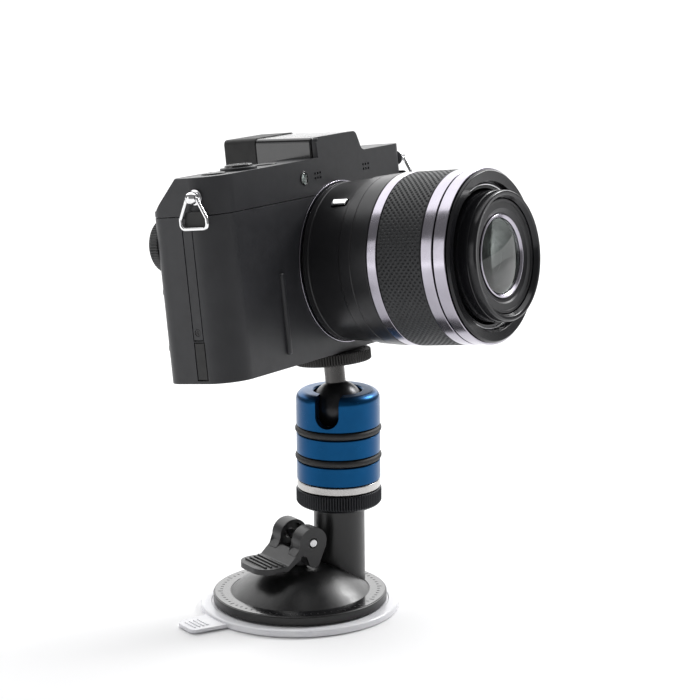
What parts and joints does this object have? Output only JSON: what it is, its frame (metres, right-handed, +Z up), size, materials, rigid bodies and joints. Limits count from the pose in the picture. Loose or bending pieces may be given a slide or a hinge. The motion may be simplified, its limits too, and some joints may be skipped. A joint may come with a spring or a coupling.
{
  "type": "suction cup camera stand with ball head and camera",
  "caption": "Vacuum suction base with a lever and post, carrying a small clamp ball head that aims a compact mirrorless camera with a zoom lens.",
  "frame": {"origin": "centre of the suction disc's underside, on the surface that it grips", "axes": "+Z up; +X from the middle of the base towards the post, so the lever's pad points to -X and its pin lies along Y; the lens looks roughly to -Y"},
  "size_m": [0.127, 0.1174, 0.1678],
  "materials": {
    "clear_vinyl": "clear soft vinyl, slightly cloudy",
    "base_black": "fine-textured black moulding",
    "steel": "turned steel",
    "ring_black": "black anodised, knurled",
    "head_silver": "clear anodised, turned",
    "inner_grey": "moulded",
    "blue_anodised": "blue anodised, satin",
    "rubber_black": "matt",
    "head_dark": "dark grey anodised",
    "camera_paint": "fine-grained black paint on a light metal shell",
    "finder_glass": "clear",
    "screen_glass": "glossy black",
    "chrome": "polished",
    "guard_black": "matt",
    "lens_black": "satin black",
    "lens_silver": "spun, faint violet tint",
    "zoom_rubber": "small diamond dimples",
    "lens_glass": "coated lens glass",
    "button_black": "satin"
  },
  "bodies": {
    "base": {"suction_disc": "clear_vinyl", "base_shell": "base_black", "post_tube": "base_black", "post_stud": "steel"},
    "stem": {"suction_stem": "base_black"},
    "lever": {"suction_lever": "base_black", "lever_pin": "steel"},
    "lock_ring": {"lock_ring": "ring_black"},
    "head_base": {"head_collar": "head_silver", "ball_seat": "inner_grey", "clamp_spring": "steel"},
    "housing": {"head_housing": "blue_anodised", "oring_1": "rubber_black", "oring_2": "rubber_black"},
    "ball": {"ball": "head_dark"},
    "platform": {"ball_neck": "head_dark", "platform_disc": "head_dark", "platform_pad": "rubber_black", "tripod_screw": "steel"},
    "camera": {"camera_body": "camera_paint", "top_cover": "camera_paint", "eyepiece": "rubber_black", "finder_window": "finder_glass", "af_lamp": "finder_glass", "screen": "screen_glass", "side_strip": "camera_paint", "thumb_rest": "rubber_black", "battery": "inner_grey", "tripod_bush": "steel", "image_sensor": "screen_glass", "strap_lug_grip": "chrome", "strap_lug_far": "chrome", "strap_guard_grip": "guard_black", "strap_guard_far": "guard_black", "lens_mount_ring": "steel", "lens_rear_barrel": "lens_black", "lens_ring_rear": "lens_silver", "lens_ring_middle": "lens_silver", "lens_ring_front": "lens_silver", "lens_front_barrel": "lens_black"},
    "zoom": {"zoom_ring": "zoom_rubber"},
    "inner": {"inner_barrel": "lens_black", "front_ring": "lens_black", "glass_bezel": "chrome", "front_glass": "lens_glass"},
    "lens_button": {"lens_button": "chrome"},
    "shutter": {"shutter_button": "button_black"},
    "movie": {"movie_button": "button_black"},
    "power": {"power_button": "button_black"},
    "dial": {"mode_dial": "button_black"},
    "selector": {"selector_ring": "button_black"},
    "select_key": {"selector_button": "button_black"},
    "play_key": {"button_play": "button_black"},
    "menu_key": {"button_menu": "button_black"},
    "delete_key": {"button_delete": "button_black"},
    "display_key": {"button_display": "button_black"},
    "battery_door": {"battery_door": "camera_paint"},
    "flap": {"side_flap": "guard_black"},
    "strap_ring_grip": {"strap_ring_grip": "chrome"},
    "strap_ring_far": {"strap_ring_far": "chrome"}
  },
  "joints": [
    {"name": "stem_slide", "type": "slide", "parent": "base", "child": "stem", "axis": [0, 0, 1], "range_m": [-0.0033, 0]},
    {"name": "lever_turn", "type": "hinge", "parent": "stem", "child": "lever", "pos_m": [0, 0, 0.0252], "axis": [0, 1, 0], "range_deg": [0, 80]},
    {"name": "lock_ring_turn", "type": "hinge", "parent": "base", "child": "lock_ring", "pos_m": [0.01714, 0, 0.0385], "axis": [0, 0, 1], "continuous": true},
    {"name": "head_pan", "type": "hinge", "parent": "base", "child": "head_base", "pos_m": [0.01714, 0, 0.0415], "axis": [0, 0, 1], "continuous": true},
    {"name": "clamp_turn", "type": "hinge", "parent": "head_base", "child": "housing", "pos_m": [0.01714, 0, 0.06], "axis": [0, 0, 1], "range_deg": [-30, 30]},
    {"name": "ball_tilt_forward", "type": "hinge", "parent": "head_base", "child": "ball", "pos_m": [0.01714, 0, 0.0708], "axis": [0.9204, 0.3893, -0.0363], "range_deg": [-20, 20]},
    {"name": "ball_tilt_side", "type": "hinge", "parent": "ball", "child": "platform", "pos_m": [0.01714, 0, 0.0708], "axis": [-0.3907, 0.9115, -0.1288], "range_deg": [-20, 20]},
    {"name": "camera_turn", "type": "hinge", "parent": "platform", "child": "camera", "pos_m": [0.01679, 0.00273, 0.09116], "axis": [-0.017, 0.1327, 0.991], "continuous": true},
    {"name": "zoom_turn", "type": "hinge", "parent": "camera", "child": "zoom", "pos_m": [0.03579, -0.03871, 0.12852], "axis": [0.3907, -0.9115, 0.1288], "range_deg": [0, 75]},
    {"name": "zoom_slide", "type": "slide", "parent": "camera", "child": "inner", "axis": [0.3907, -0.9115, 0.1288], "range_m": [0, 0.019]},
    {"name": "lens_button_press", "type": "slide", "parent": "camera", "child": "lens_button", "axis": [0.5924, 0.1419, -0.793], "range_m": [0, 0.0008], "stiffness_N_per_m": 250},
    {"name": "shutter_press", "type": "slide", "parent": "camera", "child": "shutter", "axis": [0.017, -0.1327, -0.991], "range_m": [0, 0.001], "stiffness_N_per_m": 250},
    {"name": "movie_press", "type": "slide", "parent": "camera", "child": "movie", "axis": [0.017, -0.1327, -0.991], "range_m": [0, 0.0007], "stiffness_N_per_m": 250},
    {"name": "power_press", "type": "slide", "parent": "camera", "child": "power", "axis": [0.017, -0.1327, -0.991], "range_m": [0, 0.0007], "stiffness_N_per_m": 250},
    {"name": "mode_dial_turn", "type": "hinge", "parent": "camera", "child": "dial", "pos_m": [-0.04702, 0.00365, 0.13596], "axis": [-0.3907, 0.9115, -0.1288], "range_deg": [-60, 60]},
    {"name": "selector_turn", "type": "hinge", "parent": "camera", "child": "selector", "pos_m": [-0.03924, 0.0035, 0.11129], "axis": [-0.3907, 0.9115, -0.1288], "continuous": true},
    {"name": "select_press", "type": "slide", "parent": "camera", "child": "select_key", "axis": [0.3907, -0.9115, 0.1288], "range_m": [0, 0.0006], "stiffness_N_per_m": 250},
    {"name": "play_press", "type": "slide", "parent": "camera", "child": "play_key", "axis": [0.3907, -0.9115, 0.1288], "range_m": [0, 0.0006], "stiffness_N_per_m": 250},
    {"name": "menu_press", "type": "slide", "parent": "camera", "child": "menu_key", "axis": [0.3907, -0.9115, 0.1288], "range_m": [0, 0.0006], "stiffness_N_per_m": 250},
    {"name": "delete_press", "type": "slide", "parent": "camera", "child": "delete_key", "axis": [0.3907, -0.9115, 0.1288], "range_m": [0, 0.0006], "stiffness_N_per_m": 250},
    {"name": "display_press", "type": "slide", "parent": "camera", "child": "display_key", "axis": [0.3907, -0.9115, 0.1288], "range_m": [0, 0.0006], "stiffness_N_per_m": 250},
    {"name": "battery_door_turn", "type": "hinge", "parent": "camera", "child": "battery_door", "pos_m": [-0.01995, -0.00743, 0.0919], "axis": [0.3907, -0.9115, 0.1288], "range_deg": [0, 95]},
    {"name": "side_flap_turn", "type": "hinge", "parent": "camera", "child": "flap", "pos_m": [-0.05174, -0.01906, 0.10057], "axis": [0.017, -0.1327, -0.991], "range_deg": [0, 80]},
    {"name": "strap_ring_grip_swing", "type": "hinge", "parent": "camera", "child": "strap_ring_grip", "pos_m": [-0.05199, -0.01872, 0.15572], "axis": [-0.3907, 0.9115, -0.1288], "range_deg": [0, 95]},
    {"name": "strap_ring_far_swing", "type": "hinge", "parent": "camera", "child": "strap_ring_far", "pos_m": [0.06008, 0.02279, 0.1531], "axis": [0.3907, -0.9115, 0.1288], "range_deg": [0, 95]}
  ],
  "couplings": [
    {"joint": "stem_slide", "follows": "lever_turn", "m_per_rad": -0.002149},
    {"joint": "zoom_slide", "follows": "zoom_turn", "m_per_rad": 0.0137}
  ]
}
